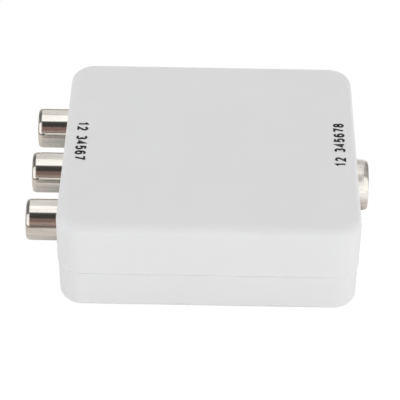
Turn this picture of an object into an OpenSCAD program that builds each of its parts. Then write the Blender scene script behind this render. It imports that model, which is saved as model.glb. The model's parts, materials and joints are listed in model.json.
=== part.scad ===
// Small box that turns a composite picture and two sound channels into an aerial signal.
// Frame: +X from the phono side to the aerial side, +Y to the back, +Z up.
// The origin is the middle of the underside of the case.

/* [Case] */
// Width of the case, from the phono side to the aerial side
case_w = 59.6; // [58:0.2:66]
// Depth of the case, from front to back
case_d = 55; // [54:0.5:62]
// Height of the case
case_h = 20.5; // [20:0.25:24]
// Wall thickness of both shells
wall = 2; // [1.8:0.1:2.2]
// Radius of the upright corners
corner_r = 5; // [4.5:0.25:7]
// Radius of the edge round the top face
top_edge_r = 1.75; // [1:0.25:2.5]
// Radius of the edge round the underside
base_edge_r = 1.5; // [0.5:0.25:2]
// Height of the base shell, up to the seam
base_h = 8.9; // [8.8:0.1:9.6]
// Inset of the base shell under the cover
base_inset = 0.2; // [0:0.05:0.3]
// Width of the shadow gap at the seam
seam_gap = 0.2; // [0.1:0.05:0.3]
// Depth of the shadow gap
seam_depth = 0.6; // [0.3:0.1:0.7]
// Bevel on the upper edge of the base shell
seam_bevel = 0.25; // [0.1:0.05:0.4]

/* [Seam lip] */
// Height of the lip that the cover drops over
lip_h = 1.2; // [0.8:0.1:1.6]
// Thickness of the lip
lip_t = 0.8; // [0.6:0.05:0.9]
// Clearance of the lip in the cover
lip_gap = 0.12; // [0.05:0.01:0.2]

/* [Case screws] */
// Distance between the screws along the width
screw_span_x = 30; // [28:0.5:32]
// Radius of the screw bosses
boss_r = 2.5; // [2.3:0.1:2.7]
// Depth that a boss is sunk into the wall beside it
boss_bite = 0.5; // [0.3:0.1:0.7]
// Diameter of the screw shank
screw_d = 2.2; // [2:0.1:2.4]
// Length of the screw under its head
screw_len = 11; // [9:0.5:12]
// Diameter of the screw head
screw_head_d = 3.6; // [3.2:0.1:3.8]
// Height of the screw head
screw_head_h = 1.5; // [1.2:0.1:1.8]
// Depth of the screw head below the underside
screw_sink = 1.2; // [0.8:0.1:1.6]

/* [Circuit board] */
// Thickness of the board
board_t = 1.6; // [1.2:0.1:1.8]
// Height of the board's underside above the floor of the base
board_stand = 2.4; // [2.2:0.1:2.6]
// Gap between the board and the side walls
board_gap = 0.45; // [0.3:0.05:0.6]
// Distance of the two board screws from the middle, along the width
board_screw_x = 11; // [10:0.5:12]
// Distance of the two board screws from the inside of the front and back walls
board_screw_inset = 7.5; // [7:0.25:8.5]

/* [Phono jacks] */
// Distance of the outer jack axes from the front and back faces
jack_side = 12.5; // [11.8:0.1:13]
// Outer diameter of the barrel that a phono plug grips
barrel_d = 8.3; // [8:0.05:8.6]
// Wall of the barrel
barrel_wall = 0.55; // [0.5:0.05:0.7]
// Reach of the barrel beyond the case
barrel_reach = 6.6; // [6:0.1:9]
// Length of the rounding at the barrel's mouth
barrel_round_l = 0.9; // [0.5:0.1:1.2]
// Thickness of the collar that centres the barrel in the case wall
collar_t = 0.3; // [0.2:0.05:0.4]
// Diameter of the hole for the plug's pin
phono_hole_d = 3.4; // [3.3:0.05:3.6]
// Depth of the moulded body behind the wall
jack_body_l = 9; // [8.5:0.25:9.5]
// Width of the moulded body
jack_body_w = 9; // [8.8:0.1:9.4]

/* [Aerial socket] */
// Outer diameter of the sleeve
rf_sleeve_d = 10.8; // [10.6:0.1:11.2]
// Bore of the sleeve
rf_bore_d = 9.6; // [9.5:0.05:9.8]
// Reach of the sleeve beyond the case
rf_reach = 2.75; // [2:0.25:4]
// Length of the sleeve
rf_sleeve_l = 12; // [11.5:0.25:13]
// Bore of the centre contact, for the plug's pin
rf_pin_d = 2.4; // [2.3:0.05:2.5]
// Depth of the bore of the centre contact
rf_pin_depth = 9; // [8:0.25:9]
// Depth of the centre contact below the mouth
rf_contact_set = 0.8; // [0.4:0.1:1.5]

/* [Power inlet] */
// Distance of the inlet from the middle of the back
inlet_x = 6; // [5:0.25:6.25]
// Width of the inlet's shell
inlet_w = 7.7; // [7.4:0.1:7.9]
// Height of the inlet's shell
inlet_h = 3.9; // [3.7:0.1:4.1]
// Length of the inlet's shell
inlet_l = 9.2; // [8.8:0.2:9.6]

/* [Channel switch] */
// Distance of the switch from the middle of the back
switch_x = -5.5; // [-6:0.25:-5]
// Width of the switch can
switch_w = 8.6; // [8.2:0.1:9]
// Depth of the switch can
switch_l = 3.6; // [3.4:0.1:4]
// Height of the switch can
switch_h = 3.6; // [3.4:0.1:3.8]
// Travel of the knob
switch_travel = 2; // [1.6:0.1:2]
// Width of the knob
knob_w = 1.6; // [1.4:0.1:1.8]
// Height of the knob
knob_h = 1.5; // [1.3:0.1:1.6]

/* [Hidden] */

$fn = 64;

// Colours
WHITE = [0.87, 0.87, 0.87];
NICKEL = [0.78, 0.76, 0.72];
STEEL = [0.62, 0.63, 0.65];
BRASS = [0.85, 0.7, 0.35];
BLACK = [0.08, 0.08, 0.09];
BOARD_GREEN = [0.05, 0.33, 0.18];
YELLOW = [0.95, 0.78, 0.1];
RED = [0.75, 0.1, 0.1];
TAN = [0.72, 0.6, 0.42];

// One overrun for every cut, and the clearances of the fits
overrun = 1;
seat_gap = 0.05;
hole_gap = 0.1;
port_gap = 0.15;
window_gap = 0.35;
shelf_gap = 0.3;

// Rim that the roundings at the mouths of the barrels and the sleeve leave, and their steps
rim_t = 0.1;
round_steps = 8;

// Levels and faces that the pieces share
ceiling_z = case_h - wall;
board_z = wall + board_stand;
lead_below = 1.4;
board_top = board_z + board_t;
lead_drop = board_t + lead_below;
inner_x = case_w / 2 - wall;
inner_y = case_d / 2 - wall;
cavity_r = corner_r - wall;
board_screw_y = inner_y - board_screw_inset;

// Screw bosses, posts and the ribs over the jacks
boss_x = screw_span_x / 2;
boss_y = inner_y - boss_r + boss_bite;
boss_blind = 0.5;
pilot_d = screw_d + 2 * seat_gap;
screw_head_z = screw_sink + screw_head_h;
post_d = 4.2;
clamp_t = 1.2;
cross_t = 0.5;
cross_l = 2;
cross_depth = 0.8;

// Phono jacks: the case hole, the flange, the body and the contact
jack_pitch = case_d / 2 - jack_side;
jack_ys = [jack_pitch, 0, -jack_pitch];
jack_height_share = 0.488;
jack_rise = jack_height_share * (ceiling_z - board_top);
jack_z = board_top + jack_rise;
collar_d = barrel_d + 2 * collar_t;
jack_hole_r = collar_d / 2 + port_gap;
saddle_side = 1;
flange_t = 0.4;
flange_x = -inner_x + port_gap;
jack_body_x = flange_x + flange_t;
jack_rear_x = jack_body_x + jack_body_l;
jack_body_rise = 4.6;
jack_bevel = 0.8;
nose_set = 0.8;
contact_wall = 0.4;
contact_d = phono_hole_d + 2 * contact_wall;
contact_l = 6;
contact_plate_t = 0.5;
contact_slit = 0.4;
contact_x = jack_rear_x - shelf_gap - contact_plate_t;
tail_w = 1.2;
barrel_mouth_x = -case_w / 2 - barrel_reach;

// Aerial socket: the sleeve, its lugs and the contact in its insulator
rf_height_share = 0.348;
rf_rise = rf_height_share * (ceiling_z - board_top);
rf_z = board_top + rf_rise;
rf_hole_r = rf_sleeve_d / 2 + port_gap;
rf_mouth_x = case_w / 2 + rf_reach;
rf_rear_x = rf_mouth_x - rf_sleeve_l;
rf_round_share = 0.82;
rf_round_l = rf_round_share * rf_reach;
rf_flange_t = 1;
rf_flange_side = 0.7;
rf_lug_l = 3;
rf_lug_w = 2.6;
rf_lug_h = 1.3;
rf_lug_d = 1.2;
rf_lug_x = rf_rear_x + rf_lug_l / 2;
rf_lug_y = (rf_sleeve_d + rf_lug_w) / 2;
rf_hub_d = 5.6;
rf_hub_l = 3;
rf_disc_l = 2.3;
rf_contact_wall = 0.6;
rf_contact_d = rf_pin_d + 2 * rf_contact_wall;
rf_contact_x = rf_mouth_x - rf_contact_set;
rf_collar_t = 0.5;
rf_disc_x = rf_rear_x + shelf_gap;
rf_slit_l = 4;
rf_tail_d = 1;
rf_tail_x = rf_rear_x - rf_tail_d;

// Power inlet, in the frame of the back wall: +X outwards, +Y to the left, from the board's top
inlet_mouth = -shelf_gap;
inlet_rear = inlet_mouth - inlet_l;
inlet_skin = 0.3;
inlet_waist_share = 0.45;
inlet_narrow_share = 0.8;
inlet_tongue_share = 0.62;
inlet_leg_w = 1;
inlet_legs = [inlet_rear + 1.6 * inlet_leg_w, -wall - board_gap - inlet_leg_w];
inlet_block_l = 2.6;
inlet_block_x = inlet_rear + inlet_skin + seat_gap;
tongue_h = 0.9;
tongue_set = 1;
tongue_z = inlet_h * inlet_tongue_share - tongue_h / 2;
way_count = 5;
way_pitch = 0.8;
way_w = 0.35;
way_t = 0.2;

// Channel switch, in the same frame
switch_skin = 0.25;
switch_front = -wall - port_gap;
switch_rear = switch_front - switch_l;
switch_leg_w = 1;
switch_leg_x = switch_front - switch_l / 2;
switch_mid_z = switch_h / 2;
carrier_x = switch_front - switch_skin - seat_gap;
carrier_l = 1.2;
carrier_side = 0.9;
carrier_h = switch_h - 2 * switch_skin - 2 * seat_gap;
knob_set = 0.3;
knob_gap = 0.25;
knob_ridge = 0.2;
knob_rest = switch_travel / 2;
slot_w = knob_w + switch_travel + 2 * knob_gap;
slot_h = knob_h + 2 * knob_gap;
switch_back_t = 0.9;
terminal_ways = [-1, 0, 1];
terminal_d = 0.6;
terminal_x = switch_rear + switch_back_t / 2;
pad_t = 0.2;
pad_w = 1;
wiper_t = 0.2;
wiper_dot_d = 0.8;

// Components, at shares of the board's free area between the sockets, of the shield, or of the
// strips on its left and right
free_w = rf_rear_x - jack_rear_x;
free_mid_x = (rf_rear_x + jack_rear_x) / 2;
free_d = 2 * inner_y;
shield_place_shares = [0.02, 0.01];
modulator_place_shares = [0, 0.22];
crystal_place_shares = [0, -0.24];
control_place_shares = [0.5, -0.17];
regulator_place_shares = [0.5, 0.25];
choke_place_shares = [0.5, 0.2];
can_place_shares = [[0.1, -0.29], [-0.1, -0.33]];
front_capacitor_place_shares = [[0, -0.24], [0.2, -0.24]];
left_capacitor_place_shares = [[0.3, 0.05], [0.3, 0.01], [0.7, 0.05], [0.7, 0.01]];
right_capacitor_place_shares = [[0.3, 0.1], [0.7, 0.1]];
left_resistor_place_shares = [[0.3, -0.3], [0.3, -0.34], [0.7, -0.3]];
right_resistor_place_shares = [[0.5, -0.22], [0.5, -0.26], [0.7, 0.06]];
shield_w = 15;
shield_d = 17.5;
shield_h = 4.5;
shield_skin = 0.3;
shield_r = 0.6;
shield_slot_w = 1;
shield_slot_share = 0.5;
shield_tab_w = 1.4;
chip_w = 3.9;
chip_h = 1.5;
chip_pitch = 1.27;
chip_end = 0.3;
chip_stand = 0.1;
chip_bevel = 0.25;
chip_mark_r = 0.35;
lead_t = 0.2;
lead_w = 0.42;
lead_foot = 0.6;
lead_shoulder = 0.5;
modulator_ways = 8;
control_ways = 4;
crystal_l = 10.2;
crystal_w = 3.7;
crystal_h = 3.5;
crystal_rim = 0.4;
regulator_l = 6.5;
regulator_w = 3.5;
regulator_h = 1.6;
regulator_pitch = 2.3;
regulator_lead_w = 0.7;
regulator_tab_w = 3;
regulator_reach = 1.5;
choke_w = 5;
choke_h = 2.6;
choke_r = 0.8;
cheek_t = 0.7;
can_d = 5;
can_h = 7;
can_edge_r = 0.5;
can_groove_r = 0.4;
can_groove_z = 1.4;
passive_l = 1.6;
passive_w = 0.8;
passive_h = 0.6;

// What a round corner of radius r leaves of a square corner that points to +X and +Y
module corner_waste(r) {
    difference() {
        translate([-r, -r]) square(r + overrun);
        translate([-r, -r]) circle(r);
    }
}

// Rectangle with round corners
module round_plan(w, d, r) {
    square([w, d - 2 * r], center = true);
    square([w - 2 * r, d], center = true);
    for (sx = [-1, 1], sy = [-1, 1]) translate([sx * (w / 2 - r), sy * (d / 2 - r)]) circle(r);
}

// Block from x0 to x1 and z0 to z1, of a given width about y
module block(x0, x1, y, width, z0, z1) {
    translate([x0, y - width / 2, z0]) cube([x1 - x0, width, z1 - z0]);
}

// Rod along X from x0 to x1
module rod(d, x0, x1) {
    translate([x0, 0, 0]) rotate([0, 90, 0]) cylinder(d = d, h = x1 - x0);
}

// Rod of radius r up the Z axis, drawn in to a rim at its end by a long curve
module nosed_rod(r, rim_r, length, round_l) {
    curve = [for (i = [0:round_steps]) let(angle = i * 90 / round_steps)
        [rim_r + (r - rim_r) * cos(angle), length - round_l * (1 - sin(angle))]];
    rotate_extrude() polygon(concat([[0, 0], [r, 0]], curve, [[0, length]]));
}

// Outline in Y and Z, extruded along X from x0 to x1
module along_x(x0, x1) {
    translate([x0, 0, 0]) rotate([90, 0, 90]) linear_extrude(x1 - x0) children();
}

module at_bosses() {
    for (sx = [-1, 1], sy = [-1, 1]) translate([sx * boss_x, sy * boss_y]) children();
}

module at_board_screws() {
    for (s = [-1, 1]) translate([s * board_screw_x, -s * board_screw_y]) children();
}

// The frame of the back wall, for the inlet and the switch
module at_back(x, z) {
    translate([x, case_d / 2, z]) rotate(90) children();
}

// Half of a shell's section, from its middle out to half, with the seam at y = 0
module half_section(half, h, edge_r, gap, bevel) {
    difference() {
        square([half, h]);
        translate([half, h]) corner_waste(edge_r);
        if (gap > 0) translate([half - seam_depth, gap]) mirror([0, 1]) square(seam_depth + overrun);
        if (bevel > 0) translate([half, 0]) rotate(45) square(bevel * sqrt(2), center = true);
    }
}

// Solid outer form of a shell: two crossed runs and a quarter-round column at each corner
module shell_form(w, d, r, h, edge_r, gap, bevel) {
    run_x = w - 2 * r;
    run_y = d - 2 * r;
    rotate([90, 0, 0]) linear_extrude(run_y, center = true) for (s = [0, 1])
        mirror([s, 0]) half_section(w / 2, h, edge_r, gap, bevel);
    rotate([90, 0, 90]) linear_extrude(run_x, center = true) for (s = [0, 1])
        mirror([s, 0]) half_section(d / 2, h, edge_r, gap, bevel);
    for (sx = [-1, 1], sy = [-1, 1]) translate([sx * run_x / 2, sy * run_y / 2])
        rotate_extrude() half_section(r, h, edge_r, gap, bevel);
}

module shell_cavity(h) {
    linear_extrude(h) round_plan(2 * inner_x, 2 * inner_y, cavity_r);
}

// Lip along the front and back walls, broken at the screw bosses and rooted in the wall
module seam_lip(gap) {
    run = 2 * (inner_x - cavity_r + gap);
    for (sy = [-1, 1]) translate([0, sy * (inner_y + lip_t / 2), -overrun])
        linear_extrude(overrun + lip_h + gap) difference() {
            square([run, lip_t + 2 * gap], center = true);
            for (sx = [-1, 1]) translate([sx * boss_x, 0])
                square([2 * (boss_r + saddle_side - gap), lip_t + 2 * gap + overrun], center = true);
        }
}

// The cover's opening round a socket: round above the axis, and open down to the seam
module arch_cut(side, y, z, r) {
    socket_bore(side, y, z, r);
    mirror([side < 0 ? 1 : 0, 0, 0])
        block(inner_x - overrun, case_w / 2 + overrun, y, 2 * (r + saddle_side), base_h - overrun, z);
}

// The tab of the base that fills the opening below the axis
module saddle(side, y, z, r) {
    width = 2 * (r + saddle_side - lip_gap);
    mirror([side < 0 ? 1 : 0, 0, 0])
        block(inner_x, case_w / 2 - base_inset, y, width, base_h - lip_h, z - lip_gap);
}

module socket_bore(side, y, z, r) {
    mirror([side < 0 ? 1 : 0, 0, 0]) translate([0, y, z])
        rod(2 * r, inner_x - overrun, case_w / 2 + overrun);
}

module inlet_window(z_top) {
    at_back(inlet_x, board_top)
        block(-wall - overrun, overrun, 0, inlet_w + 2 * window_gap, -window_gap, z_top - board_top);
}

module switch_window(z_top) {
    at_back(switch_x, board_top)
        block(-wall - overrun, overrun, 0, slot_w, switch_mid_z - slot_h / 2, z_top - board_top);
}

module cover_shell() {
    clamp_x = jack_body_x + jack_body_l / 4;
    color(WHITE) difference() {
        union() {
            difference() {
                translate([0, 0, base_h])
                    shell_form(case_w, case_d, corner_r, case_h - base_h, top_edge_r, seam_gap, 0);
                translate([0, 0, base_h - overrun]) shell_cavity(ceiling_z - base_h + overrun);
            }
            at_bosses() translate([0, 0, base_h]) cylinder(r = boss_r, h = case_h - base_h - wall / 2);
            // Ribs that hold the phono jacks down on the board
            for (y = jack_ys) block(clamp_x, clamp_x + jack_body_l / 2, y, clamp_t,
                jack_z + jack_body_rise + shelf_gap, ceiling_z + wall / 2);
        }
        at_bosses() translate([0, 0, base_h - overrun])
            cylinder(d = pilot_d, h = screw_head_z + screw_len + boss_blind - base_h + overrun);
        translate([0, 0, base_h]) seam_lip(lip_gap);
        for (y = jack_ys) arch_cut(-1, y, jack_z, jack_hole_r);
        arch_cut(1, 0, rf_z, rf_hole_r);
        inlet_window(board_top + inlet_h + window_gap);
        switch_window(board_top + switch_mid_z + slot_h / 2);
    }
}

module base_shell() {
    color(WHITE) difference() {
        union() {
            difference() {
                translate([0, 0, base_h]) mirror([0, 0, 1]) shell_form(case_w - 2 * base_inset,
                    case_d - 2 * base_inset, corner_r - base_inset, base_h, base_edge_r, 0, seam_bevel);
                translate([0, 0, wall]) shell_cavity(base_h);
            }
            at_bosses() translate([0, 0, wall / 2]) cylinder(r = boss_r, h = base_h - wall / 2);
            at_board_screws() translate([0, 0, wall / 2]) cylinder(d = post_d, h = board_z - wall / 2);
            // Posts under the corners of the board
            for (sx = [-1, 1], sy = [-1, 1])
                translate([sx * (inner_x - cavity_r), sy * (inner_y - cavity_r), wall / 2])
                    cylinder(d = post_d, h = board_z - wall / 2);
            translate([0, 0, base_h]) seam_lip(0);
            for (y = jack_ys) saddle(-1, y, jack_z, jack_hole_r);
            saddle(1, 0, rf_z, rf_hole_r);
        }
        at_bosses() {
            translate([0, 0, -overrun])
                cylinder(d = screw_head_d + 2 * port_gap, h = screw_head_z + overrun);
            cylinder(d = pilot_d, h = base_h + overrun);
        }
        at_board_screws() translate([0, 0, wall]) cylinder(d = pilot_d, h = board_z);
        for (y = jack_ys) socket_bore(-1, y, jack_z, jack_hole_r);
        socket_bore(1, 0, rf_z, rf_hole_r);
        inlet_window(base_h + lip_h + overrun);
        switch_window(base_h + lip_h + overrun);
    }
}

// Pan head screw that points up, with the underside of its head at z = 0
module screw(shank_l) {
    tip_l = screw_d / 2;
    difference() {
        union() {
            mirror([0, 0, 1]) rotate_extrude() difference() {
                square([screw_head_d / 2, screw_head_h]);
                translate([screw_head_d / 2, screw_head_h]) corner_waste(screw_head_h / 3);
            }
            cylinder(d = screw_d, h = shank_l - tip_l);
            translate([0, 0, shank_l - tip_l]) cylinder(d1 = screw_d, d2 = screw_d / 3, h = tip_l);
        }
        for (a = [0, 90]) rotate(a) translate([0, 0, -screw_head_h])
            cube([cross_l, cross_t, 2 * cross_depth], center = true);
    }
}

module case_screws() {
    color(STEEL) at_bosses() translate([0, 0, screw_head_z]) screw(screw_len);
}

module board_screws() {
    color(STEEL) at_board_screws() translate([0, 0, board_top]) mirror([0, 0, 1])
        screw(board_t + board_stand - seat_gap);
}

// Places of the leads that go through the board
module at_jack_tails() {
    for (y = jack_ys, x = [flange_x + flange_t / 2, contact_x + contact_plate_t / 2])
        translate([x, y]) children();
}

module at_rf_lugs() {
    for (s = [-1, 1]) translate([rf_lug_x, s * rf_lug_y]) children();
}

module at_inlet_legs() {
    for (s = [-1, 1], x = inlet_legs) translate([x, s * (inlet_w - inlet_skin) / 2]) children();
}

module at_switch_legs() {
    for (s = [-1, 1]) translate([switch_leg_x, s * (switch_w - switch_skin) / 2]) children();
}

module at_terminals() {
    for (i = terminal_ways) translate([terminal_x, i * switch_travel]) children();
}

module at_shield_tabs() {
    for (sx = [-1, 1], sy = [-1, 1])
        translate([sx * shield_w / 4, sy * (shield_d - shield_skin) / 2]) children();
}

module circuit_board() {
    color(BOARD_GREEN) translate([0, 0, board_z]) linear_extrude(board_t) difference() {
        round_plan(2 * (inner_x - board_gap), 2 * (inner_y - board_gap), cavity_r);
        at_bosses() circle(boss_r + board_gap);
        at_board_screws() circle(d = screw_d + 2 * hole_gap);
        at_jack_tails() circle(d = tail_w + 4 * hole_gap);
        at_rf_lugs() circle(d = rf_lug_d + 2 * hole_gap);
        translate([rf_tail_x, 0]) circle(d = rf_tail_d + 2 * hole_gap);
        translate([inlet_x, case_d / 2]) rotate(90) at_inlet_legs() circle(d = inlet_leg_w + 4 * hole_gap);
        translate([switch_x, case_d / 2]) rotate(90) {
            at_switch_legs() circle(d = switch_leg_w + 4 * hole_gap);
            at_terminals() circle(d = terminal_d + 2 * hole_gap);
        }
        translate(on_board(shield_place_shares)) at_shield_tabs() circle(d = shield_tab_w + 4 * hole_gap);
        // Notch for the underside of the aerial sleeve
        translate([rf_rear_x - port_gap, -rf_sleeve_d / 2 - hole_gap])
            square([rf_sleeve_l, rf_sleeve_d + 2 * hole_gap]);
    }
}

module at_jack(i) {
    translate([0, jack_ys[i], jack_z]) children();
}

// Barrel of a phono jack about its own axis, with its flange and earth tail
module jack_barrel() {
    difference() {
        union() {
            translate([-case_w / 2, 0, 0]) rotate([0, -90, 0])
                nosed_rod(barrel_d / 2, barrel_d / 2 - barrel_wall + rim_t, barrel_reach, barrel_round_l);
            rod(collar_d, -case_w / 2, jack_body_x);
            block(flange_x, jack_body_x, 0, jack_body_w, -jack_rise, jack_body_rise);
            block(flange_x, jack_body_x, 0, tail_w, -jack_rise - lead_drop, 0);
        }
        rod(barrel_d - 2 * barrel_wall, barrel_mouth_x - overrun, jack_body_x + overrun);
    }
}

// Moulded body of a phono jack: a block on the board, and a nose that fills the barrel
module jack_body() {
    half = jack_body_w / 2;
    difference() {
        union() {
            rod(barrel_d - 2 * barrel_wall - 2 * seat_gap, barrel_mouth_x + nose_set, jack_rear_x);
            along_x(jack_body_x, jack_rear_x) polygon([
                [-half, -jack_rise], [half, -jack_rise], [half, jack_body_rise - jack_bevel],
                [half - jack_bevel, jack_body_rise], [jack_bevel - half, jack_body_rise],
                [-half, jack_body_rise - jack_bevel]
            ]);
        }
        rod(phono_hole_d, barrel_mouth_x, jack_rear_x);
        rod(contact_d + 2 * seat_gap, contact_x - contact_l, jack_rear_x + overrun);
        block(contact_x - seat_gap, jack_rear_x + overrun, 0, tail_w + 2 * hole_gap,
            -jack_rise - overrun, 0);
    }
}

// Spring tube that grips the plug's pin, with a back plate and the signal tail
module jack_contact() {
    difference() {
        rod(contact_d, contact_x - contact_l + seat_gap, contact_x + contact_plate_t);
        rod(phono_hole_d, contact_x - contact_l, contact_x);
        block(contact_x - contact_l, contact_x - contact_l / 2, 0, contact_slit, -contact_d, contact_d);
    }
    block(contact_x, contact_x + contact_plate_t, 0, tail_w, -jack_rise - lead_drop, 0);
}

module video_barrel() { color(NICKEL) at_jack(0) jack_barrel(); }
module video_body() { color(YELLOW) at_jack(0) jack_body(); }
module video_contact() { color(BRASS) at_jack(0) jack_contact(); }
module left_audio_barrel() { color(NICKEL) at_jack(1) jack_barrel(); }
module left_audio_body() { color(WHITE) at_jack(1) jack_body(); }
module left_audio_contact() { color(BRASS) at_jack(1) jack_contact(); }
module right_audio_barrel() { color(NICKEL) at_jack(2) jack_barrel(); }
module right_audio_body() { color(RED) at_jack(2) jack_body(); }
module right_audio_contact() { color(BRASS) at_jack(2) jack_contact(); }

// Aerial sleeve: rounded outside the case, flanged behind the wall, with two earth lugs
module rf_sleeve() {
    flange_front = inner_x - port_gap;
    flange_d = rf_sleeve_d + 2 * rf_flange_side;
    color(NICKEL) difference() {
        union() {
            translate([rf_rear_x, 0, rf_z]) rotate([0, 90, 0])
                nosed_rod(rf_sleeve_d / 2, rf_bore_d / 2 + rim_t, rf_sleeve_l, rf_round_l);
            translate([0, 0, rf_z]) rod(flange_d, flange_front - rf_flange_t, flange_front);
            for (s = [-1, 1]) block(rf_rear_x, rf_rear_x + rf_lug_l, s * (rf_lug_y - rf_lug_w / 2),
                2 * rf_lug_w, board_top, board_top + rf_lug_h);
            at_rf_lugs() translate([0, 0, board_top - lead_drop])
                cylinder(d = rf_lug_d, h = lead_drop + rf_lug_h / 2);
        }
        translate([0, 0, rf_z]) rod(rf_bore_d, rf_rear_x - overrun, rf_mouth_x + overrun);
    }
}

// Insulator at the bottom of the sleeve, with a hub round the centre contact
module rf_insulator() {
    color(WHITE) translate([0, 0, rf_z]) difference() {
        union() {
            rod(rf_bore_d - 2 * seat_gap, rf_disc_x, rf_disc_x + rf_disc_l);
            rod(rf_hub_d, rf_disc_x, rf_disc_x + rf_disc_l + rf_hub_l);
        }
        rod(rf_contact_d + 2 * seat_gap, rf_rear_x - overrun, rf_mouth_x);
    }
}

// Centre contact: a slit tube for the plug's pin, a collar behind the insulator and a tail
module rf_contact() {
    color(BRASS) {
        translate([0, 0, rf_z]) difference() {
            union() {
                rod(rf_contact_d, rf_disc_x, rf_contact_x);
                rod(rf_contact_d + 2 * rf_contact_wall, rf_disc_x - rf_collar_t, rf_disc_x);
                rod(rf_tail_d, rf_tail_x, rf_disc_x);
            }
            rod(rf_pin_d, rf_contact_x - rf_pin_depth, rf_mouth_x);
            block(rf_contact_x - rf_slit_l, rf_mouth_x, 0, contact_slit, -rf_contact_d, rf_contact_d);
        }
        translate([rf_tail_x, 0, board_top - lead_drop]) cylinder(d = rf_tail_d, h = rf_rise + lead_drop);
    }
}

// Outline of the inlet about its middle, narrower below a waist
module inlet_outline(w, h) {
    waist = h / 2 - h * inlet_waist_share;
    foot = w / 2 * inlet_narrow_share;
    polygon([
        [-w / 2, h / 2], [w / 2, h / 2], [w / 2, waist],
        [foot, -h / 2], [-foot, -h / 2], [-w / 2, waist]
    ]);
}

module inlet_shell() {
    color(STEEL) at_back(inlet_x, board_top) {
        translate([0, 0, inlet_h / 2]) difference() {
            along_x(inlet_rear, inlet_mouth) inlet_outline(inlet_w, inlet_h);
            along_x(inlet_rear + inlet_skin, inlet_mouth + overrun)
                inlet_outline(inlet_w - 2 * inlet_skin, inlet_h - 2 * inlet_skin);
        }
        // Legs that go down from the sides and through the board
        at_inlet_legs() block(-inlet_leg_w / 2, inlet_leg_w / 2, 0, inlet_skin,
            -lead_drop, inlet_h * (1 - inlet_waist_share));
    }
}

module at_ways() {
    for (i = [0:way_count - 1]) translate([0, (i - (way_count - 1) / 2) * way_pitch]) children();
}

module inlet_tongue() {
    inside_w = inlet_w - 2 * (inlet_skin + seat_gap);
    inside_h = inlet_h - 2 * (inlet_skin + seat_gap);
    tongue_w = (way_count + 1 / 2) * way_pitch;
    color(BLACK) at_back(inlet_x, board_top) difference() {
        union() {
            translate([0, 0, inlet_h / 2]) along_x(inlet_block_x, inlet_block_x + inlet_block_l)
                inlet_outline(inside_w, inside_h);
            block(inlet_block_x, inlet_mouth - tongue_set, 0, tongue_w, tongue_z, tongue_z + tongue_h);
        }
        at_ways() block(inlet_block_x + inlet_skin, inlet_mouth - 2 * tongue_set + seat_gap,
            0, way_w + 2 * seat_gap, tongue_z - 2 * seat_gap, tongue_z + way_t);
    }
}

module inlet_contacts() {
    color(BRASS) at_back(inlet_x, board_top) at_ways()
        block(inlet_block_x + inlet_skin + seat_gap, inlet_mouth - 2 * tongue_set, 0, way_w,
            tongue_z - seat_gap, tongue_z + way_t - seat_gap);
}

// Folded can of the slide switch: open at the back, with a window for the knob
module switch_can() {
    color(STEEL) at_back(switch_x, board_top) {
        difference() {
            block(switch_rear, switch_front, 0, switch_w, 0, switch_h);
            block(switch_rear - overrun, switch_front - switch_skin, 0, switch_w - 2 * switch_skin,
                switch_skin, switch_h - switch_skin);
            block(switch_rear, switch_front + overrun, 0, slot_w,
                switch_mid_z - slot_h / 2, switch_mid_z + slot_h / 2);
            // Slots in the floor for the terminals
            at_terminals() block(-switch_back_t, terminal_d / 2 + hole_gap, 0, terminal_d + 2 * hole_gap,
                -overrun, switch_skin + seat_gap);
        }
        at_switch_legs()
            block(-switch_leg_w / 2, switch_leg_w / 2, 0, switch_skin, -lead_drop, switch_mid_z);
    }
}

// Back plate of the switch, with a channel for each terminal
module switch_base() {
    rim = switch_skin + seat_gap;
    color(BLACK) at_back(switch_x, board_top) difference() {
        block(switch_rear, switch_rear + switch_back_t, 0, switch_w - 2 * rim, rim, switch_h - rim);
        at_terminals() cylinder(d = terminal_d + 2 * seat_gap, h = switch_mid_z + seat_gap);
        at_terminals() block(0, switch_back_t, 0, terminal_d + 2 * seat_gap, 0, switch_mid_z + seat_gap);
    }
}

// Terminals: a pin through the board, and a flat contact in front of the back plate
module switch_terminals() {
    pad_x = switch_back_t / 2 + pad_t / 2;
    color(BRASS) at_back(switch_x, board_top) at_terminals() {
        translate([0, 0, -lead_drop]) cylinder(d = terminal_d, h = lead_drop + switch_mid_z);
        block(0, pad_x, 0, terminal_d, switch_mid_z - terminal_d, switch_mid_z);
        block(pad_x, pad_x + pad_t, 0, pad_w, switch_mid_z - knob_h / 2, switch_mid_z + knob_h / 2);
    }
}

// Knob: a carrier that slides behind the can's face, and a ridged stem in the window
module switch_knob() {
    low_z = switch_mid_z - knob_h / 2;
    high_z = switch_mid_z + knob_h / 2;
    color(BLACK) at_back(switch_x, board_top) translate([0, knob_rest]) {
        block(carrier_x - carrier_l, carrier_x, 0, knob_w + 2 * carrier_side,
            switch_mid_z - carrier_h / 2, switch_mid_z + carrier_h / 2);
        difference() {
            block(carrier_x, -knob_set, 0, knob_w, low_z, high_z);
            for (i = [-1, 0, 1]) block(-knob_set - knob_ridge, overrun, i * knob_w / 3, knob_w / 6,
                low_z - overrun, high_z + overrun);
        }
    }
}

// Sprung contact on the back of the carrier, with a dot for each of two terminals
module switch_wiper() {
    back_x = carrier_x - carrier_l;
    touch_x = terminal_x + switch_back_t / 2 + pad_t / 2 + pad_t + seat_gap;
    color(BRASS) at_back(switch_x, board_top) translate([0, knob_rest, switch_mid_z]) {
        block(back_x - wiper_t, back_x, 0, switch_travel + wiper_dot_d, -knob_h / 2, knob_h / 2);
        for (s = [-1, 1]) translate([0, s * switch_travel / 2]) rod(wiper_dot_d, touch_x, back_x - wiper_t);
    }
}

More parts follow.
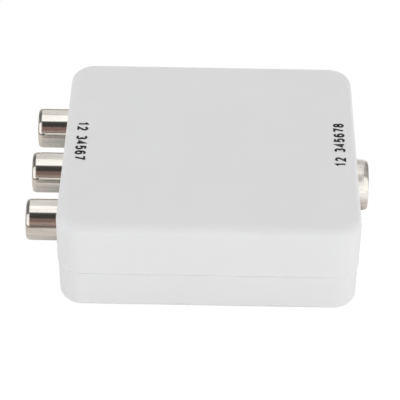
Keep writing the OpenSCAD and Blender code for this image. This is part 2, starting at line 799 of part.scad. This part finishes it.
function on_board(shares) = [free_mid_x + shares[0] * free_w, shares[1] * free_d];
function in_shield(shares) =
    on_board(shield_place_shares) + [shares[0] * shield_w, shares[1] * shield_d];
function in_strip(x0, x1, shares) = [x0 + shares[0] * (x1 - x0), shares[1] * free_d];
function left_of_shield(shares) =
    in_strip(jack_rear_x, on_board(shield_place_shares)[0] - shield_w / 2, shares);
function right_of_shield(shares) =
    in_strip(on_board(shield_place_shares)[0] + shield_w / 2, rf_rear_x, shares);

// Open-bottomed tin cover over the modulator chip, with tabs through the board
module modulator_shield() {
    color(STEEL) translate(on_board(shield_place_shares)) translate([0, 0, board_top]) {
        difference() {
            linear_extrude(shield_h) round_plan(shield_w, shield_d, shield_r);
            linear_extrude(2 * (shield_h - shield_skin), center = true)
                round_plan(shield_w - 2 * shield_skin, shield_d - 2 * shield_skin, shield_r - shield_skin);
            for (s = [-1, 1]) translate([s * shield_w / 4, 0, shield_h])
                cube([shield_slot_w, shield_d * shield_slot_share, 4 * shield_skin], center = true);
        }
        at_shield_tabs()
            block(-shield_tab_w / 2, shield_tab_w / 2, 0, shield_skin, -lead_drop, shield_skin);
    }
}

// Moulded chip just above the board, with a bevelled top and a dimple at its first lead
module chip_body(l, w, h) {
    mark = 2 * chip_mark_r;
    translate([0, 0, board_top + chip_stand]) difference() {
        rotate([90, 0, 0]) linear_extrude(w, center = true) polygon([
            [-l / 2, 0], [l / 2, 0], [l / 2, h / 2], [l / 2 - chip_bevel, h],
            [chip_bevel - l / 2, h], [-l / 2, h / 2]
        ]);
        translate([mark + chip_bevel - l / 2, mark - w / 2, h - chip_bevel / 2])
            cylinder(r = chip_mark_r, h = overrun);
    }
}

// Gull-wing leads along both long sides of a chip
module chip_leads(ways, w, h) {
    knee = w / 2 + lead_shoulder;
    for (s = [0, 1], i = [0:ways - 1]) mirror([0, s])
        translate([(i - (ways - 1) / 2) * chip_pitch - lead_w / 2, 0, board_top])
            along_x(0, lead_w) polygon([
                [w / 2, h / 2], [knee, h / 2], [knee, lead_t], [knee + lead_foot, lead_t],
                [knee + lead_foot, 0], [knee - lead_t, 0], [knee - lead_t, h / 2 - lead_t],
                [w / 2, h / 2 - lead_t]
            ]);
}

function chip_length(ways) = ways * chip_pitch - chip_end;

module modulator_chip() {
    color(BLACK) translate(in_shield(modulator_place_shares))
        chip_body(chip_length(modulator_ways), chip_w, chip_h);
}

module modulator_leads() {
    color(STEEL) translate(in_shield(modulator_place_shares)) chip_leads(modulator_ways, chip_w, chip_h);
}

// Crystal: a low can on its flange
module crystal() {
    rim_r = crystal_w / 2 - crystal_rim / 2;
    color(STEEL) translate(in_shield(crystal_place_shares)) translate([0, 0, board_top]) {
        linear_extrude(crystal_rim)
            round_plan(crystal_l + 2 * crystal_rim, crystal_w + 2 * crystal_rim, rim_r + crystal_rim);
        linear_extrude(crystal_h) round_plan(crystal_l, crystal_w, rim_r);
    }
}

module control_chip() {
    color(BLACK) translate(left_of_shield(control_place_shares))
        chip_body(chip_length(control_ways), chip_w, chip_h);
}

module control_leads() {
    color(STEEL) translate(left_of_shield(control_place_shares)) chip_leads(control_ways, chip_w, chip_h);
}

module regulator() {
    color(BLACK) translate(right_of_shield(regulator_place_shares))
        chip_body(regulator_l, regulator_w, regulator_h);
}

// Three narrow leads on one side of the regulator, and its wide tab on the other
module regulator_leads() {
    side = regulator_w / 2;
    color(STEEL) translate(right_of_shield(regulator_place_shares)) translate([0, 0, board_top]) {
        for (i = [-1, 0, 1])
            translate([i * regulator_pitch - regulator_lead_w / 2, -side - regulator_reach, 0])
                cube([regulator_lead_w, regulator_reach, lead_t]);
        translate([-regulator_tab_w / 2, side, 0]) cube([regulator_tab_w, regulator_reach, lead_t]);
    }
}

// Ferrite choke: a round core between two square cheeks
module supply_choke() {
    color(BLACK) translate(left_of_shield(choke_place_shares)) translate([0, 0, board_top]) {
        for (z = [0, choke_h - cheek_t]) translate([0, 0, z])
            linear_extrude(cheek_t) round_plan(choke_w, choke_w, choke_r);
        cylinder(d = choke_w - choke_r, h = choke_h);
    }
}

// Cans with a rolled groove near the foot
module smoothing_capacitors() {
    color(STEEL) for (place = can_place_shares) translate(on_board(place)) translate([0, 0, board_top])
        rotate_extrude() difference() {
            square([can_d / 2, can_h]);
            translate([can_d / 2, can_h]) corner_waste(can_edge_r);
            translate([can_d / 2 + can_groove_r / 3, can_groove_z]) circle(can_groove_r);
        }
}

module chip_passives(places) {
    for (place = places) translate(place) translate([0, 0, board_top + passive_h / 2])
        cube([passive_l, passive_w, passive_h], center = true);
}

module chip_capacitors() {
    color(TAN) chip_passives([
        for (shares = front_capacitor_place_shares) on_board(shares),
        for (shares = left_capacitor_place_shares) left_of_shield(shares),
        for (shares = right_capacitor_place_shares) right_of_shield(shares)
    ]);
}

module chip_resistors() {
    color(BLACK) chip_passives([
        for (shares = left_resistor_place_shares) left_of_shield(shares),
        for (shares = right_resistor_place_shares) right_of_shield(shares)
    ]);
}

cover_shell();
base_shell();
case_screws();
circuit_board();
board_screws();
video_barrel();
video_body();
video_contact();
left_audio_barrel();
left_audio_body();
left_audio_contact();
right_audio_barrel();
right_audio_body();
right_audio_contact();
rf_sleeve();
rf_insulator();
rf_contact();
inlet_shell();
inlet_tongue();
inlet_contacts();
switch_can();
switch_base();
switch_terminals();
switch_knob();
switch_wiper();
modulator_shield();
modulator_chip();
modulator_leads();
crystal();
control_chip();
control_leads();
regulator();
regulator_leads();
supply_choke();
smoothing_capacitors();
chip_capacitors();
chip_resistors();
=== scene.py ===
# Looks of the modulator: its materials, the printed numerals, and the studio round it.
# Lengths are in metres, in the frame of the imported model: +X to the aerial side, +Y to the back, +Z up.
import json
import math

import bpy
from mathutils import Matrix, Vector


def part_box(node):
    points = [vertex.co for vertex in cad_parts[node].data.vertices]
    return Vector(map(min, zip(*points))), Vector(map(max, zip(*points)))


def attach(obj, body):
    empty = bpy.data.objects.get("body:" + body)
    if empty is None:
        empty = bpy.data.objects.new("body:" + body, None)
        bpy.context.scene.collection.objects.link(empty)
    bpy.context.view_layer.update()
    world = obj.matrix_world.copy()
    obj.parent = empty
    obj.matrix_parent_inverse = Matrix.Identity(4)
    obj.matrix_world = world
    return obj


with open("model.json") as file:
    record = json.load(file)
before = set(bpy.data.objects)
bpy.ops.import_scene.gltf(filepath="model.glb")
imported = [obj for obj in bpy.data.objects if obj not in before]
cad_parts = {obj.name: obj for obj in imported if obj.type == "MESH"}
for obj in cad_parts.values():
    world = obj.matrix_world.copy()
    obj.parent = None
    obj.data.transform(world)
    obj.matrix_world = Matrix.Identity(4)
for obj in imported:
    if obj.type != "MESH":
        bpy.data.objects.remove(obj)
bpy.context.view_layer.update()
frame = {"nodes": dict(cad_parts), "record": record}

MM = 0.001
case_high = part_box("cover_shell")[1]

# Camera, as the photograph shows the box
CAMERA_SPOT = Vector((0.69, -294.97, 250.48)) * MM
CAMERA_TARGET = Vector((-1.93, -2.38, 7.39)) * MM
CAMERA_ROLL = math.radians(0.671)
CAMERA_LENS = 165.2
SENSOR_W = 36


def add_object(name, data):
    """Object with the given data, in the scene."""
    obj = bpy.data.objects.new(name, data)
    bpy.context.scene.collection.objects.link(obj)
    return obj


def new_material(name):
    """A material with a Principled shader, and its node tree."""
    mat = bpy.data.materials.new(name)
    mat.use_nodes = True
    return mat, mat.node_tree, mat.node_tree.nodes["Principled BSDF"]


def feed(tree, socket, value):
    """Gives an input a number, a colour, or what another node puts out."""
    if isinstance(value, bpy.types.NodeSocket):
        tree.links.new(value, socket)
    elif isinstance(value, tuple):
        socket.default_value = (*value, 1)
    else:
        socket.default_value = value


def shaded(colour, share):
    """A share of a colour."""
    return tuple(share * c for c in colour)


def coordinates(tree, stretch=(1, 1, 1)):
    """Object coordinates, stretched along the axes."""
    coords = tree.nodes.new("ShaderNodeTexCoord")
    mapping = tree.nodes.new("ShaderNodeMapping")
    mapping.inputs["Scale"].default_value = stretch
    tree.links.new(coords.outputs["Object"], mapping.inputs["Vector"])
    return mapping.outputs["Vector"]


def split_axes(tree, vector):
    """The X, Y and Z of a vector, as the outputs of a node."""
    node = tree.nodes.new("ShaderNodeSeparateXYZ")
    tree.links.new(vector, node.inputs["Vector"])
    return node.outputs


def noise(tree, vector, size, detail=3.0):
    """Noise with features of a given size in metres."""
    node = tree.nodes.new("ShaderNodeTexNoise")
    node.inputs["Scale"].default_value = 1 / size
    node.inputs["Detail"].default_value = detail
    tree.links.new(vector, node.inputs["Vector"])
    return node.outputs["Fac"]


def spread(tree, value, low, high, start=0.3, end=0.7):
    """value, taken from start to end, as low to high."""
    node = tree.nodes.new("ShaderNodeMapRange")
    node.inputs["From Min"].default_value = start
    node.inputs["From Max"].default_value = end
    node.inputs["To Min"].default_value = low
    node.inputs["To Max"].default_value = high
    tree.links.new(value, node.inputs["Value"])
    return node.outputs["Result"]


def math_node(tree, operation, *values):
    """One step of arithmetic on sockets or numbers."""
    node = tree.nodes.new("ShaderNodeMath")
    node.operation = operation
    for i, value in enumerate(values):
        feed(tree, node.inputs[i], value)
    return node.outputs["Value"]


def two_colours(tree, value, first, second):
    """Goes from the first colour to the second, plain or from a socket, as value goes from 0 to 1."""
    node = tree.nodes.new("ShaderNodeMix")
    node.data_type = "RGBA"
    tree.links.new(value, node.inputs["Factor"])
    feed(tree, node.inputs["A"], first)
    feed(tree, node.inputs["B"], second)
    return node.outputs["Result"]


def bump(tree, heights, depth):
    """Normal from a height, of a given depth in metres."""
    node = tree.nodes.new("ShaderNodeBump")
    node.inputs["Distance"].default_value = depth
    tree.links.new(heights, node.inputs["Height"])
    return node.outputs["Normal"]


def surface(name, colour, roughness, metallic=0.0, grain=0.15 * MM, grain_depth=0.002 * MM,
            mottle=6 * MM, shade=0.96, rough_span=0.06, stretch=(1, 1, 1), coat=0.0, glow=0.0,
            glow_depth=0.5 * MM):
    """Material with a fine grain, a faint mottle in its colour and an uneven gloss. Light goes a little
    way into it where glow is above 0."""
    mat, tree, shader = new_material(name)
    vector = coordinates(tree, stretch)
    tone = spread(tree, noise(tree, vector, mottle), 0, 1)
    mottled = two_colours(tree, tone, shaded(colour, shade), colour)
    tree.links.new(mottled, shader.inputs["Base Color"])
    gloss = noise(tree, vector, mottle / 2)
    tree.links.new(spread(tree, gloss, roughness - rough_span, roughness + rough_span),
                   shader.inputs["Roughness"])
    tree.links.new(bump(tree, noise(tree, vector, grain), grain_depth), shader.inputs["Normal"])
    shader.inputs["Metallic"].default_value = metallic
    shader.inputs["Coat Weight"].default_value = coat
    shader.inputs["Subsurface Weight"].default_value = glow
    shader.inputs["Subsurface Radius"].default_value = (1, 1, 1)
    shader.inputs["Subsurface Scale"].default_value = glow_depth
    return mat


def plated(name, colour, roughness, speck=0.45 * MM, speck_level=(0.7, 0.74), speck_shade=0.55,
           streak=0.8 * MM, streak_shades=(0.84, 1.04), rough_spans=(0.03, -0.02),
           turning=0.12 * MM, turning_depth=0.0006 * MM):
    """Bright plating with faint turning marks round the X axis, streaks along it and a few specks."""
    mat, tree, shader = new_material(name)
    specks = spread(tree, noise(tree, coordinates(tree), speck, 1), 0, 1, *speck_level)
    streaks = spread(tree, noise(tree, coordinates(tree, (0.1, 1, 1)), streak), 0, 1)
    streaky = two_colours(tree, streaks, *(shaded(colour, share) for share in streak_shades))
    speckled = two_colours(tree, specks, streaky, shaded(colour, speck_shade))
    tree.links.new(speckled, shader.inputs["Base Color"])
    gloss = spread(tree, streaks, *(roughness + span for span in rough_spans), 0, 1)
    tree.links.new(gloss, shader.inputs["Roughness"])
    turned = noise(tree, coordinates(tree, (1, 0.02, 0.02)), turning)
    tree.links.new(bump(tree, turned, turning_depth), shader.inputs["Normal"])
    shader.inputs["Metallic"].default_value = 1
    return mat


def spangled(name, colour, roughness, spangle=1.5 * MM, shade=0.9, rough_span=0.08,
             grain=0.8 * MM, grain_depth=0.003 * MM):
    """Tin plate: soft patches of different gloss under a fine rolled grain."""
    mat, tree, shader = new_material(name)
    cells = tree.nodes.new("ShaderNodeTexVoronoi")
    cells.inputs["Scale"].default_value = 1 / spangle
    tree.links.new(coordinates(tree), cells.inputs["Vector"])
    tone = tree.nodes.new("ShaderNodeSeparateColor")
    tree.links.new(cells.outputs["Color"], tone.inputs["Color"])
    patches = two_colours(tree, tone.outputs["Red"], shaded(colour, shade), colour)
    tree.links.new(patches, shader.inputs["Base Color"])
    gloss = spread(tree, tone.outputs["Green"], roughness - rough_span, roughness + rough_span, 0, 1)
    tree.links.new(gloss, shader.inputs["Roughness"])
    rolled = noise(tree, coordinates(tree, (1, 8, 8)), grain)
    tree.links.new(bump(tree, rolled, grain_depth), shader.inputs["Normal"])
    shader.inputs["Metallic"].default_value = 1
    return mat


def solder_mask(name, lacquer=(0.003, 0.09, 0.03), lighter=(0.004, 0.11, 0.035),
                over_copper=(0.012, 0.17, 0.06), track_grid=9 * MM, roughness=(0.22, 0.34),
                mottle=3 * MM, weave=0.35 * MM, weave_depth=0.004 * MM):
    """Board with lighter copper tracks under its green lacquer."""
    mat, tree, shader = new_material(name)
    vector = coordinates(tree)
    bricks = tree.nodes.new("ShaderNodeTexBrick")
    bricks.inputs["Scale"].default_value = 1 / track_grid
    bricks.inputs["Mortar Size"].default_value = 0.03
    bricks.inputs["Mortar Smooth"].default_value = 0.2
    feed(tree, bricks.inputs["Color1"], lacquer)
    feed(tree, bricks.inputs["Color2"], lighter)
    feed(tree, bricks.inputs["Mortar"], over_copper)
    tree.links.new(vector, bricks.inputs["Vector"])
    tree.links.new(bricks.outputs["Color"], shader.inputs["Base Color"])
    tree.links.new(spread(tree, noise(tree, vector, mottle), *roughness), shader.inputs["Roughness"])
    woven = noise(tree, coordinates(tree, (1, 1, 0.2)), weave)
    tree.links.new(bump(tree, woven, weave_depth), shader.inputs["Normal"])
    return mat


MATERIALS = {
    "case_plastic": surface("moulded_white", (0.729, 0.73, 0.735), 0.48, grain=0.12 * MM,
                            grain_depth=0.0015 * MM, mottle=14 * MM, shade=0.985, rough_span=0.04,
                            glow=1),
    "nickel": plated("bright_nickel", (0.78, 0.76, 0.735), 0.07),
    "yellow_plastic": surface("yellow_plastic", (0.86, 0.56, 0.02), 0.27, coat=0.2),
    "white_plastic": surface("white_plastic", (0.76, 0.76, 0.74), 0.27, coat=0.2),
    "red_plastic": surface("red_plastic", (0.5, 0.012, 0.012), 0.27, coat=0.2),
    "spring_brass": surface("spring_brass", (0.78, 0.52, 0.17), 0.24, metallic=1, grain=0.3 * MM,
                            grain_depth=0.003 * MM, mottle=1.5 * MM, shade=0.85, stretch=(0.2, 1, 1)),
    "screw_steel": surface("zinc_steel", (0.55, 0.56, 0.58), 0.3, metallic=1, grain=0.2 * MM,
                           grain_depth=0.004 * MM, mottle=1.2 * MM, shade=0.85),
    "tin_plate": spangled("tin_plate", (0.62, 0.63, 0.64), 0.28),
    "board": solder_mask("board_lacquer"),
    "black_plastic": surface("black_plastic", (0.012, 0.012, 0.014), 0.42, grain_depth=0.004 * MM,
                             shade=0.7),
    "chip_resin": surface("chip_resin", (0.014, 0.014, 0.015), 0.5, grain=0.1 * MM,
                          grain_depth=0.008 * MM, mottle=1.5 * MM, shade=0.7),
    "ferrite": surface("ferrite", (0.03, 0.03, 0.033), 0.6, grain_depth=0.02 * MM,
                       mottle=1.5 * MM, shade=0.6),
    "can_aluminium": surface("can_aluminium", (0.7, 0.71, 0.73), 0.25, metallic=1, grain=0.4 * MM,
                             grain_depth=0.003 * MM, mottle=1.5 * MM, shade=0.9, stretch=(1, 1, 0.1)),
    "tan_ceramic": surface("tan_ceramic", (0.45, 0.31, 0.16), 0.5, mottle=0.6 * MM, shade=0.8),
    "black_ceramic": surface("black_ceramic", (0.015, 0.015, 0.016), 0.35, mottle=0.6 * MM, shade=0.7),
}

slots = {part["node"]: part["material_slot"] for part in frame["record"]["subparts"]}
for node, obj in frame["nodes"].items():
    for slot in obj.material_slots:
        slot.material = MATERIALS[slots[node]]


# Printed numerals on the top face: name, digits, middle in X and Y, turn, length of the row
NUMERAL_H = 2.25 * MM
NUMERAL_W = 1.35 * MM
NUMERAL_STROKE = 0.46 * MM
NUMERAL_T = 0.015 * MM
NUMERAL_SPACE = 0.8
NUMERALS = [
    ("left_numerals", "12 34567", Vector((-26.25, 0.2, 0)) * MM, -90, 12.6 * MM),
    ("right_numerals", "12 345678", Vector((26.35, 0.2, 0)) * MM, 90, 14.2 * MM),
]


def printed_ink():
    """Matt black ink, a little thin in places."""
    return surface("printed_ink", (0.006, 0.006, 0.007), 0.55, grain=0.08 * MM,
                   grain_depth=0.003 * MM, mottle=0.5 * MM, shade=0.6)


def arc(x, y, half_w, half_h, start, end, steps=12):
    """Points of an ellipse's arc about (x, y), from one angle to another in degrees."""
    angles = [math.radians(start + (end - start) * i / steps) for i in range(steps + 1)]
    return [(x + half_w * math.cos(a), y + half_h * math.sin(a)) for a in angles]


# Middle lines of the digits, in a box 1 wide and 2 high
DIGITS = {
    "1": [[(0.15, 1.6), (0.6, 2), (0.6, 0)]],
    "2": [arc(0.5, 1.46, 0.47, 0.54, 165, -35) + [(0, 0), (1, 0)]],
    "3": [arc(0.47, 1.5, 0.45, 0.5, 150, -90), arc(0.47, 0.52, 0.51, 0.52, 95, -150)],
    "4": [[(0.74, 0), (0.74, 2), (0, 0.55), (1, 0.55)]],
    "5": [[(0.92, 2), (0.16, 2), (0.09, 1.08)] + arc(0.47, 0.64, 0.51, 0.64, 135, -150)],
    "6": [arc(0.5, 1.4, 0.47, 0.6, 35, 180) + arc(0.5, 0.62, 0.5, 0.62, 180, 540, 24)],
    "7": [[(0, 2), (1, 2), (0.38, 0)]],
    "8": [arc(0.5, 1.52, 0.42, 0.48, 270, -90, 20), arc(0.5, 0.52, 0.5, 0.52, 90, 450, 20)],
}


def edge_offsets(line, half):
    """For each point of a line, the step to its left edge, mitred at the corners."""
    normals = []
    for first, second in zip(line, line[1:]):
        normals.append(Vector((first[1] - second[1], second[0] - first[0])).normalized())
    offsets = []
    for before, after in zip(normals[:1] + normals, normals + normals[-1:]):
        middle = (before + after).normalized()
        offsets.append(middle * half / max(middle.dot(after), 0.5))
    return offsets


def add_stroke(verts, faces, line, half, low, high):
    """Closed ribbon along a line, half to each side of it, from low to high."""
    start = len(verts)
    for point, step in zip(line, edge_offsets(line, half)):
        left, right = Vector(point) + step, Vector(point) - step
        verts += [(*left, high), (*right, high), (*right, low), (*left, low)]
    for first in range(start, len(verts) - 4, 4):
        for i in range(4):
            j = (i + 1) % 4
            faces.append((first + i, first + j, first + 4 + j, first + 4 + i))
    faces.append((start, start + 3, start + 2, start + 1))
    faces.append(tuple(range(len(verts) - 4, len(verts))))


def add_numerals(name, text, middle, turn, length, ink):
    """Row of narrow bold numerals printed on the top face, centred on middle."""
    line_w, line_h = NUMERAL_W - NUMERAL_STROKE, NUMERAL_H - NUMERAL_STROKE
    steps = [NUMERAL_SPACE if letter == " " else 1 for letter in text]
    pitch = (length - NUMERAL_W) / sum(steps[:-1])
    verts, faces = [], []
    x = (NUMERAL_STROKE - length) / 2
    for letter, step in zip(text, steps):
        for line in DIGITS.get(letter, []):
            points = [(x + u * line_w, (v - 1) * line_h / 2) for u, v in line]
            add_stroke(verts, faces, points, NUMERAL_STROKE / 2, -NUMERAL_T / 2, NUMERAL_T)
        x += step * pitch
    mesh = bpy.data.meshes.new(name)
    mesh.from_pydata([tuple(v) for v in verts], [], faces)
    mesh.transform(Matrix.Rotation(math.radians(turn), 4, "Z"))
    mesh.transform(Matrix.Translation(middle + Vector((0, 0, case_high.z))))
    mesh.materials.append(ink)
    obj = add_object(name, mesh)
    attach(obj, "modulator")


ink = printed_ink()
for numeral_row in NUMERALS:
    add_numerals(*numeral_row, ink)

# Studio: the strength of the even light, the white that the camera sees round the box, and how much of
# the floor's own shading shows in that white
WHITE = 1, 1, 1
ROOM_LIGHT = 0.825
CAMERA_WHITE = 1.025
FLOOR_SHADE_SHARE = 0.07
FLOOR_COLOUR = 0.97, 0.97, 0.97
FLOOR_ROUGHNESS = 0.9
FLOOR_HALF = 3
FLOOR_Z = -0.02 * MM

# Soft boxes: name, turn to the right of the front, height angle, side, power
LAMP_DISTANCE = 1.2
LAMPS = [
    ("front_soft_box", 17, 12, 0.45, 4.1),
    ("left_soft_box", -118, 20, 0.5, 3),
    ("right_soft_box", 108, 20, 0.5, 1.2),
]

# What metal mirrors of the room, by the height angle of a direction: 0 is level to the front, 90 straight
# up, 180 level to the back
TURN = -180, 180
LEFT_END = [(-180, (0.55, 0.54, 0.52)), (180, (0.55, 0.54, 0.52))]
LEFT_ROOM = [
    (-180, (0.75, 0.72, 0.68)), (-20, (0.8, 0.77, 0.73)), (-10, (1.3, 1.26, 1.22)),
    (68, (1.3, 1.26, 1.22)), (76, (0.18, 0.185, 0.17)), (150, (0.18, 0.185, 0.17)),
    (175, (0.45, 0.45, 0.43)),
]
MIDDLE_ROOM = [
    (-180, (0.7, 0.67, 0.63)), (0, (0.21, 0.17, 0.15)), (17, (0.43, 0.33, 0.29)),
    (30, (0.25, 0.16, 0.14)), (42, (0.24, 0.17, 0.15)), (49, (0.06, 0.052, 0.045)),
    (68, (0.065, 0.063, 0.058)), (76, (0.14, 0.14, 0.13)), (82, (1.32, 1.31, 1.25)),
    (119, (1.36, 1.35, 1.29)), (123, (0.86, 0.85, 0.81)), (170, (0.86, 0.85, 0.81)),
    (180, (0.65, 0.64, 0.61)),
]
RIGHT_ROOM = [
    (-180, (0.75, 0.72, 0.68)), (-30, (0.8, 0.78, 0.74)), (-15, (1.2, 1.18, 1.14)),
    (40, (1.25, 1.23, 1.2)), (60, (0.62, 0.6, 0.58)), (72, (0.62, 0.6, 0.58)),
    (90, (1.08, 1.04, 1.01)), (115, (1.08, 1.04, 1.01)), (140, (0.75, 0.73, 0.7)),
    (180, (0.7, 0.68, 0.65)),
]
SIDE_ROOM = [
    (-180, (0.75, 0.72, 0.68)), (-20, (0.8, 0.77, 0.73)), (-10, (1.3, 1.27, 1.2)),
    (64, (1.3, 1.27, 1.2)), (80, (0.48, 0.47, 0.44)), (120, (0.42, 0.41, 0.39)),
    (165, (0.3, 0.29, 0.27)), (180, (0.4, 0.38, 0.36)),
]
RIGHT_END = [
    (-180, (0.72, 0.7, 0.67)), (64, (0.8, 0.79, 0.76)), (80, (0.32, 0.32, 0.31)),
    (180, (0.3, 0.3, 0.29)),
]

# The parts of the room to the right of LEFT_END, from left to right: over which X of the direction each
# takes over, and its colours
ROOM = [
    (-0.84, -0.74, LEFT_ROOM), (-0.26, -0.16, MIDDLE_ROOM), (0, 0.05, RIGHT_ROOM),
    (0.25, 0.4, SIDE_ROOM), (0.86, 0.94, RIGHT_END),
]

# Painted reflection of the floor, which the floor glows with for metal and gloss, by the distance from
# the middle of the
# box: painted shade at the box's foot, then a bright band, then darker far off. RIGHT_FLOOR takes over
# from the middle of the box to its right wall
FLOOR_SPAN = 0, 0.25
MIDDLE_FLOOR = [
    (0.033, (0.45, 0.44, 0.42)), (0.043, (0.77, 0.72, 0.67)), (0.08, (0.83, 0.76, 0.69)),
    (0.13, (0.4, 0.36, 0.33)), (0.2, (0.23, 0.19, 0.17)),
]
# Painted shade close to the box's right wall, and beyond it a painted highlight brighter than white
RIGHT_FLOOR = [
    (0.03, (0.2, 0.19, 0.18)), (0.035, (0.7, 0.67, 0.62)), (0.042, (0.88, 0.84, 0.79)),
    (0.06, (1.15, 1.13, 1.1)),
]


def ramp_of(tree, value, stops, low, high):
    """Colour at a value, from stops between low and high."""
    ramp = tree.nodes.new("ShaderNodeValToRGB")
    tree.links.new(spread(tree, value, 0, 1, low, high), ramp.inputs["Fac"])
    elements = ramp.color_ramp.elements
    elements.remove(elements[-1])
    for i, (place, colour) in enumerate(stops):
        share = (place - low) / (high - low)
        element = elements[0] if i == 0 else elements.new(share)
        element.position = share
        element.color = (*colour, 1)
    return ramp.outputs["Color"]


def light(tree, kind, colour, strength=1):
    """Light of a colour: kind is Background in the world, and Emission on a surface."""
    node = tree.nodes.new("ShaderNode" + kind)
    feed(tree, node.inputs["Color"], colour)
    feed(tree, node.inputs["Strength"], strength)
    return node.outputs[kind]


def two_shaders(tree, value, first, second):
    """Goes from the first shader to the second as value goes from 0 to 1."""
    node = tree.nodes.new("ShaderNodeMixShader")
    tree.links.new(value, node.inputs["Fac"])
    tree.links.new(first, node.inputs[1])
    tree.links.new(second, node.inputs[2])
    return node.outputs["Shader"]


def mirrored_room(tree):
    """The studio that metal and gloss show: light and dark bands that differ from left to right."""
    axes = split_axes(tree, tree.nodes.new("ShaderNodeTexCoord").outputs["Generated"])
    front = math_node(tree, "MULTIPLY", axes["Y"], -1)
    angle = math_node(tree, "DEGREES", math_node(tree, "ARCTAN2", axes["Z"], front))
    colour = ramp_of(tree, angle, LEFT_END, *TURN)
    for start, end, stops in ROOM:
        share = spread(tree, axes["X"], 0, 1, start, end)
        colour = two_colours(tree, share, colour, ramp_of(tree, angle, stops, *TURN))
    return colour


def painted_floor_reflection(tree):
    """The floor that metal and gloss show: a painted reflection, with painted shade at the box's foot."""
    place = coordinates(tree)
    distance = tree.nodes.new("ShaderNodeVectorMath")
    distance.operation = "LENGTH"
    tree.links.new(place, distance.inputs[0])
    aside = spread(tree, split_axes(tree, place)["X"], 0, 1, 0, case_high.x)
    return two_colours(tree, aside, *(ramp_of(tree, distance.outputs["Value"], stops, *FLOOR_SPAN)
                                      for stops in (MIDDLE_FLOOR, RIGHT_FLOOR)))


def make_world():
    """White to the camera, the studio to mirrors, and an even light on everything else."""
    world = bpy.data.worlds.new("studio")
    world.use_nodes = True
    bpy.context.scene.world = world
    tree = world.node_tree
    even = tree.nodes["Background"]
    feed(tree, even.inputs["Color"], WHITE)
    feed(tree, even.inputs["Strength"], ROOM_LIGHT)
    rays = tree.nodes.new("ShaderNodeLightPath").outputs
    shiny = math_node(tree, "MAXIMUM", rays["Is Glossy Ray"], rays["Is Transmission Ray"])
    mirrored = light(tree, "Background", mirrored_room(tree))
    unseen = two_shaders(tree, shiny, even.outputs["Background"], mirrored)
    white = light(tree, "Background", WHITE, CAMERA_WHITE)
    shown = two_shaders(tree, rays["Is Camera Ray"], unseen, white)
    tree.links.new(shown, tree.nodes["World Output"].inputs["Surface"])


def make_floor():
    """Pale floor that the camera sees as white, with a faint shadow of the box."""
    mesh = bpy.data.meshes.new("floor")
    corners = [(x * FLOOR_HALF, y * FLOOR_HALF, FLOOR_Z) for x, y in ((-1, -1), (1, -1), (1, 1), (-1, 1))]
    mesh.from_pydata(corners, [], [(0, 1, 2, 3)])
    add_object("floor", mesh)
    mat, tree, shader = new_material("pale_floor")
    feed(tree, shader.inputs["Base Color"], FLOOR_COLOUR)
    feed(tree, shader.inputs["Roughness"], FLOOR_ROUGHNESS)
    rays = tree.nodes.new("ShaderNodeLightPath").outputs
    # Mirrors see the floor glow with a painted reflection, painted shade at the box's foot included
    mirrored = light(tree, "Emission", painted_floor_reflection(tree))
    unseen = two_shaders(tree, rays["Is Glossy Ray"], shader.outputs["BSDF"], mirrored)
    white = light(tree, "Emission", WHITE, CAMERA_WHITE)
    white_share = math_node(tree, "MULTIPLY", rays["Is Camera Ray"], 1 - FLOOR_SHADE_SHARE)
    shown = two_shaders(tree, white_share, unseen, white)
    tree.links.new(shown, tree.nodes["Material Output"].inputs["Surface"])
    mesh.materials.append(mat)


def add_lamp(name, turn, height, size, power):
    """Square soft box, aimed at the origin from turn degrees to the right of the front and height
    degrees up. Mirrors don't show it."""
    turn, height = math.radians(turn), math.radians(height)
    spot = LAMP_DISTANCE * Vector((math.sin(turn) * math.cos(height), -math.cos(turn) * math.cos(height),
                                   math.sin(height)))
    data = bpy.data.lights.new(name, "AREA")
    data.shape = "SQUARE"
    data.size = size
    data.energy = power
    lamp = add_object(name, data)
    lamp.location = spot
    lamp.rotation_euler = (-spot).to_track_quat("-Z", "Y").to_euler()
    lamp.visible_glossy = False


def make_camera():
    """Camera at the photograph's viewing angle."""
    data = bpy.data.cameras.new("camera")
    data.lens = CAMERA_LENS
    data.sensor_width = SENSOR_W
    camera = add_object("camera", data)
    look = (CAMERA_TARGET - CAMERA_SPOT).to_track_quat("-Z", "Y").to_matrix().to_4x4()
    roll = Matrix.Rotation(CAMERA_ROLL, 4, "Z")
    camera.matrix_world = Matrix.Translation(CAMERA_SPOT) @ look @ roll
    bpy.context.scene.camera = camera


make_world()
make_floor()
for lamp_row in LAMPS:
    add_lamp(*lamp_row)
make_camera()
bpy.context.scene.view_settings.view_transform = "Standard"
